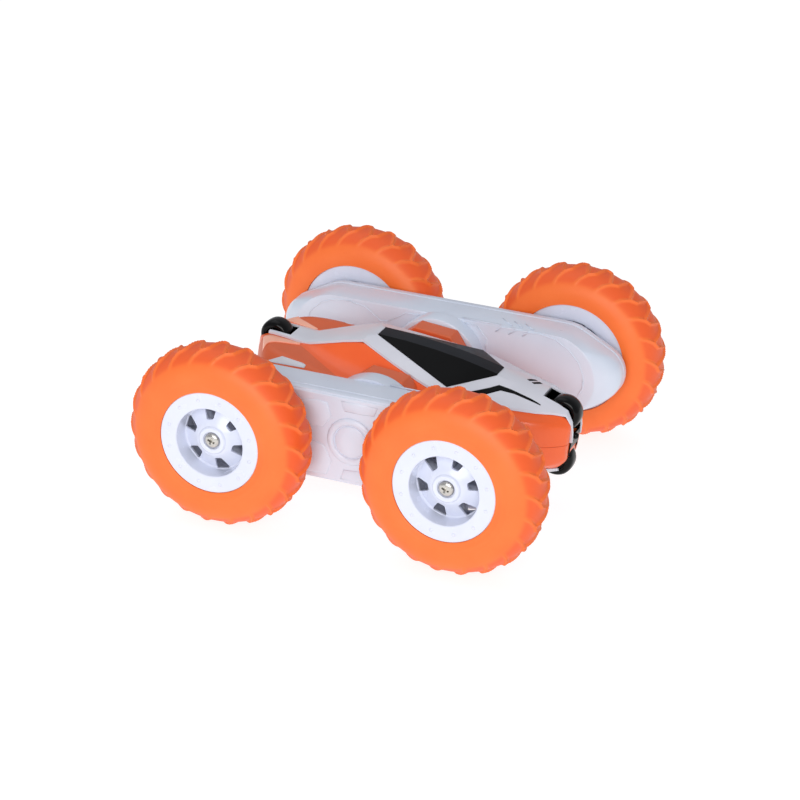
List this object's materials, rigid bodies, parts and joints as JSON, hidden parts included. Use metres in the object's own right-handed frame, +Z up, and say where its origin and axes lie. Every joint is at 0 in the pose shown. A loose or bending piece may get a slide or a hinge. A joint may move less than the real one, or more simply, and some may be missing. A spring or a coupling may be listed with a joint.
{
  "type": "radio controlled stunt car",
  "caption": "Small double-sided radio controlled stunt car: slim centre body with guard rollers, and two swinging side arms that carry geared balloon-tyred wheels.",
  "frame": {"origin": "on the ground, midway between the four wheels", "axes": "+X towards the nose, +Y to the left, +Z up"},
  "size_m": [0.149, 0.14, 0.065],
  "materials": {
    "orange_shell": "gloss moulded",
    "white_trim": "satin painted",
    "black_canopy": "satin smooth",
    "black_roller": "gloss moulded",
    "orange_tyre": "soft semi-matte rubber",
    "white_rim": "gloss moulded",
    "white_case": "gloss moulded",
    "brass_pinion": "cut",
    "gear_plastic": "moulded",
    "motor_steel": "drawn",
    "bronze_bush": "sintered",
    "screw_steel": "nickel plated",
    "battery_wrap": "shrink wrap",
    "green_board": "solder mask",
    "switch_grey": "moulded",
    "black_knob": "moulded"
  },
  "bodies": {
    "centre_body": {"upper_shell": "orange_shell", "lower_shell": "orange_shell", "upper_trim": "white_trim", "lower_trim": "white_trim", "upper_canopy": "black_canopy", "battery_cover": "black_canopy", "battery": "battery_wrap", "main_board": "green_board", "power_switch": "switch_grey", "charge_socket": "switch_grey", "shell_screws": "screw_steel", "cover_screw": "screw_steel", "roller_pins": "screw_steel"},
    "switch_knob": {"switch_knob": "black_knob"},
    "front_upper_roller": {"front_upper_roller": "black_roller"},
    "front_lower_roller": {"front_lower_roller": "black_roller"},
    "rear_upper_roller": {"rear_upper_roller": "black_roller"},
    "rear_lower_roller": {"rear_lower_roller": "black_roller"},
    "left_arm": {"left_inner_case": "white_case", "left_pivot_drum": "white_case", "left_outer_case": "white_case", "left_motor": "motor_steel", "left_gear_pins": "screw_steel", "left_axle_bushes": "bronze_bush", "left_case_screws": "screw_steel"},
    "front_left_wheel": {"front_left_tyre": "orange_tyre", "front_left_rim": "white_rim", "front_left_wheel_gear": "gear_plastic", "front_left_wheel_screw": "screw_steel"},
    "left_front_idler_gear": {"left_front_idler_gear": "gear_plastic"},
    "left_front_reduction_gear": {"left_front_reduction_gear": "gear_plastic"},
    "rear_left_wheel": {"rear_left_tyre": "orange_tyre", "rear_left_rim": "white_rim", "rear_left_wheel_gear": "gear_plastic", "rear_left_wheel_screw": "screw_steel"},
    "left_rear_idler_gear": {"left_rear_idler_gear": "gear_plastic"},
    "left_rear_reduction_gear": {"left_rear_reduction_gear": "gear_plastic"},
    "left_motor_pinion": {"left_motor_pinion": "brass_pinion"},
    "right_arm": {"right_inner_case": "white_case", "right_pivot_drum": "white_case", "right_outer_case": "white_case", "right_motor": "motor_steel", "right_gear_pins": "screw_steel", "right_axle_bushes": "bronze_bush", "right_case_screws": "screw_steel"},
    "front_right_wheel": {"front_right_tyre": "orange_tyre", "front_right_rim": "white_rim", "front_right_wheel_gear": "gear_plastic", "front_right_wheel_screw": "screw_steel"},
    "right_front_idler_gear": {"right_front_idler_gear": "gear_plastic"},
    "right_front_reduction_gear": {"right_front_reduction_gear": "gear_plastic"},
    "rear_right_wheel": {"rear_right_tyre": "orange_tyre", "rear_right_rim": "white_rim", "rear_right_wheel_gear": "gear_plastic", "rear_right_wheel_screw": "screw_steel"},
    "right_rear_idler_gear": {"right_rear_idler_gear": "gear_plastic"},
    "right_rear_reduction_gear": {"right_rear_reduction_gear": "gear_plastic"},
    "right_motor_pinion": {"right_motor_pinion": "brass_pinion"}
  },
  "joints": [
    {"name": "power_switch_slide", "type": "slide", "parent": "centre_body", "child": "switch_knob", "axis": [0, 1, 0], "range_m": [0, 0.002]},
    {"name": "front_upper_roller_spin", "type": "hinge", "parent": "centre_body", "child": "front_upper_roller", "pos_m": [0.05846, 0, 0.03551], "axis": [0, 1, 0], "continuous": true},
    {"name": "front_lower_roller_spin", "type": "hinge", "parent": "centre_body", "child": "front_lower_roller", "pos_m": [0.05681, 0, 0.01839], "axis": [0, 1, 0], "continuous": true},
    {"name": "rear_upper_roller_spin", "type": "hinge", "parent": "centre_body", "child": "rear_upper_roller", "pos_m": [-0.04938, 0, 0.04449], "axis": [0, 1, 0], "continuous": true},
    {"name": "rear_lower_roller_spin", "type": "hinge", "parent": "centre_body", "child": "rear_lower_roller", "pos_m": [-0.05076, 0, 0.03015], "axis": [0, 1, 0], "continuous": true},
    {"name": "left_arm_swing", "type": "hinge", "parent": "centre_body", "child": "left_arm", "pos_m": [0, 0, 0.0325], "axis": [0, 1, 0], "continuous": true},
    {"name": "front_left_wheel_spin", "type": "hinge", "parent": "left_arm", "child": "front_left_wheel", "pos_m": [0.042, 0.06, 0.0325], "axis": [0, 1, 0], "continuous": true},
    {"name": "left_front_idler_gear_spin", "type": "hinge", "parent": "left_arm", "child": "left_front_idler_gear", "pos_m": [0.0237, 0.0406, 0.0325], "axis": [0, 1, 0], "continuous": true},
    {"name": "left_front_reduction_gear_spin", "type": "hinge", "parent": "left_arm", "child": "left_front_reduction_gear", "pos_m": [0.0108, 0.0406, 0.0325], "axis": [0, 1, 0], "continuous": true},
    {"name": "rear_left_wheel_spin", "type": "hinge", "parent": "left_arm", "child": "rear_left_wheel", "pos_m": [-0.042, 0.06, 0.0325], "axis": [0, 1, 0], "continuous": true},
    {"name": "left_rear_idler_gear_spin", "type": "hinge", "parent": "left_arm", "child": "left_rear_idler_gear", "pos_m": [-0.0237, 0.0406, 0.0325], "axis": [0, 1, 0], "continuous": true},
    {"name": "left_rear_reduction_gear_spin", "type": "hinge", "parent": "left_arm", "child": "left_rear_reduction_gear", "pos_m": [-0.0108, 0.0406, 0.0325], "axis": [0, 1, 0], "continuous": true},
    {"name": "left_motor_pinion_spin", "type": "hinge", "parent": "left_arm", "child": "left_motor_pinion", "pos_m": [0, 0.036, 0.0325], "axis": [0, 1, 0], "continuous": true},
    {"name": "right_arm_swing", "type": "hinge", "parent": "centre_body", "child": "right_arm", "pos_m": [0, 0, 0.0325], "axis": [0, 1, 0], "continuous": true},
    {"name": "front_right_wheel_spin", "type": "hinge", "parent": "right_arm", "child": "front_right_wheel", "pos_m": [0.042, -0.06, 0.0325], "axis": [0, 1, 0], "continuous": true},
    {"name": "right_front_idler_gear_spin", "type": "hinge", "parent": "right_arm", "child": "right_front_idler_gear", "pos_m": [0.0237, -0.0406, 0.0325], "axis": [0, 1, 0], "continuous": true},
    {"name": "right_front_reduction_gear_spin", "type": "hinge", "parent": "right_arm", "child": "right_front_reduction_gear", "pos_m": [0.0108, -0.0406, 0.0325], "axis": [0, 1, 0], "continuous": true},
    {"name": "rear_right_wheel_spin", "type": "hinge", "parent": "right_arm", "child": "rear_right_wheel", "pos_m": [-0.042, -0.06, 0.0325], "axis": [0, 1, 0], "continuous": true},
    {"name": "right_rear_idler_gear_spin", "type": "hinge", "parent": "right_arm", "child": "right_rear_idler_gear", "pos_m": [-0.0237, -0.0406, 0.0325], "axis": [0, 1, 0], "continuous": true},
    {"name": "right_rear_reduction_gear_spin", "type": "hinge", "parent": "right_arm", "child": "right_rear_reduction_gear", "pos_m": [-0.0108, -0.0406, 0.0325], "axis": [0, 1, 0], "continuous": true},
    {"name": "right_motor_pinion_spin", "type": "hinge", "parent": "right_arm", "child": "right_motor_pinion", "pos_m": [0, -0.036, 0.0325], "axis": [0, 1, 0], "continuous": true}
  ],
  "couplings": [
    {"joint": "left_front_idler_gear_spin", "follows": "front_left_wheel_spin", "ratio": -0.96774},
    {"joint": "left_front_reduction_gear_spin", "follows": "front_left_wheel_spin", "ratio": 2.5},
    {"joint": "rear_left_wheel_spin", "follows": "front_left_wheel_spin", "ratio": 1},
    {"joint": "left_rear_idler_gear_spin", "follows": "front_left_wheel_spin", "ratio": -0.96774},
    {"joint": "left_rear_reduction_gear_spin", "follows": "front_left_wheel_spin", "ratio": 2.5},
    {"joint": "left_motor_pinion_spin", "follows": "front_left_wheel_spin", "ratio": -7.5},
    {"joint": "right_front_idler_gear_spin", "follows": "front_right_wheel_spin", "ratio": -0.96774},
    {"joint": "right_front_reduction_gear_spin", "follows": "front_right_wheel_spin", "ratio": 2.5},
    {"joint": "rear_right_wheel_spin", "follows": "front_right_wheel_spin", "ratio": 1},
    {"joint": "right_rear_idler_gear_spin", "follows": "front_right_wheel_spin", "ratio": -0.96774},
    {"joint": "right_rear_reduction_gear_spin", "follows": "front_right_wheel_spin", "ratio": 2.5},
    {"joint": "right_motor_pinion_spin", "follows": "front_right_wheel_spin", "ratio": -7.5}
  ]
}
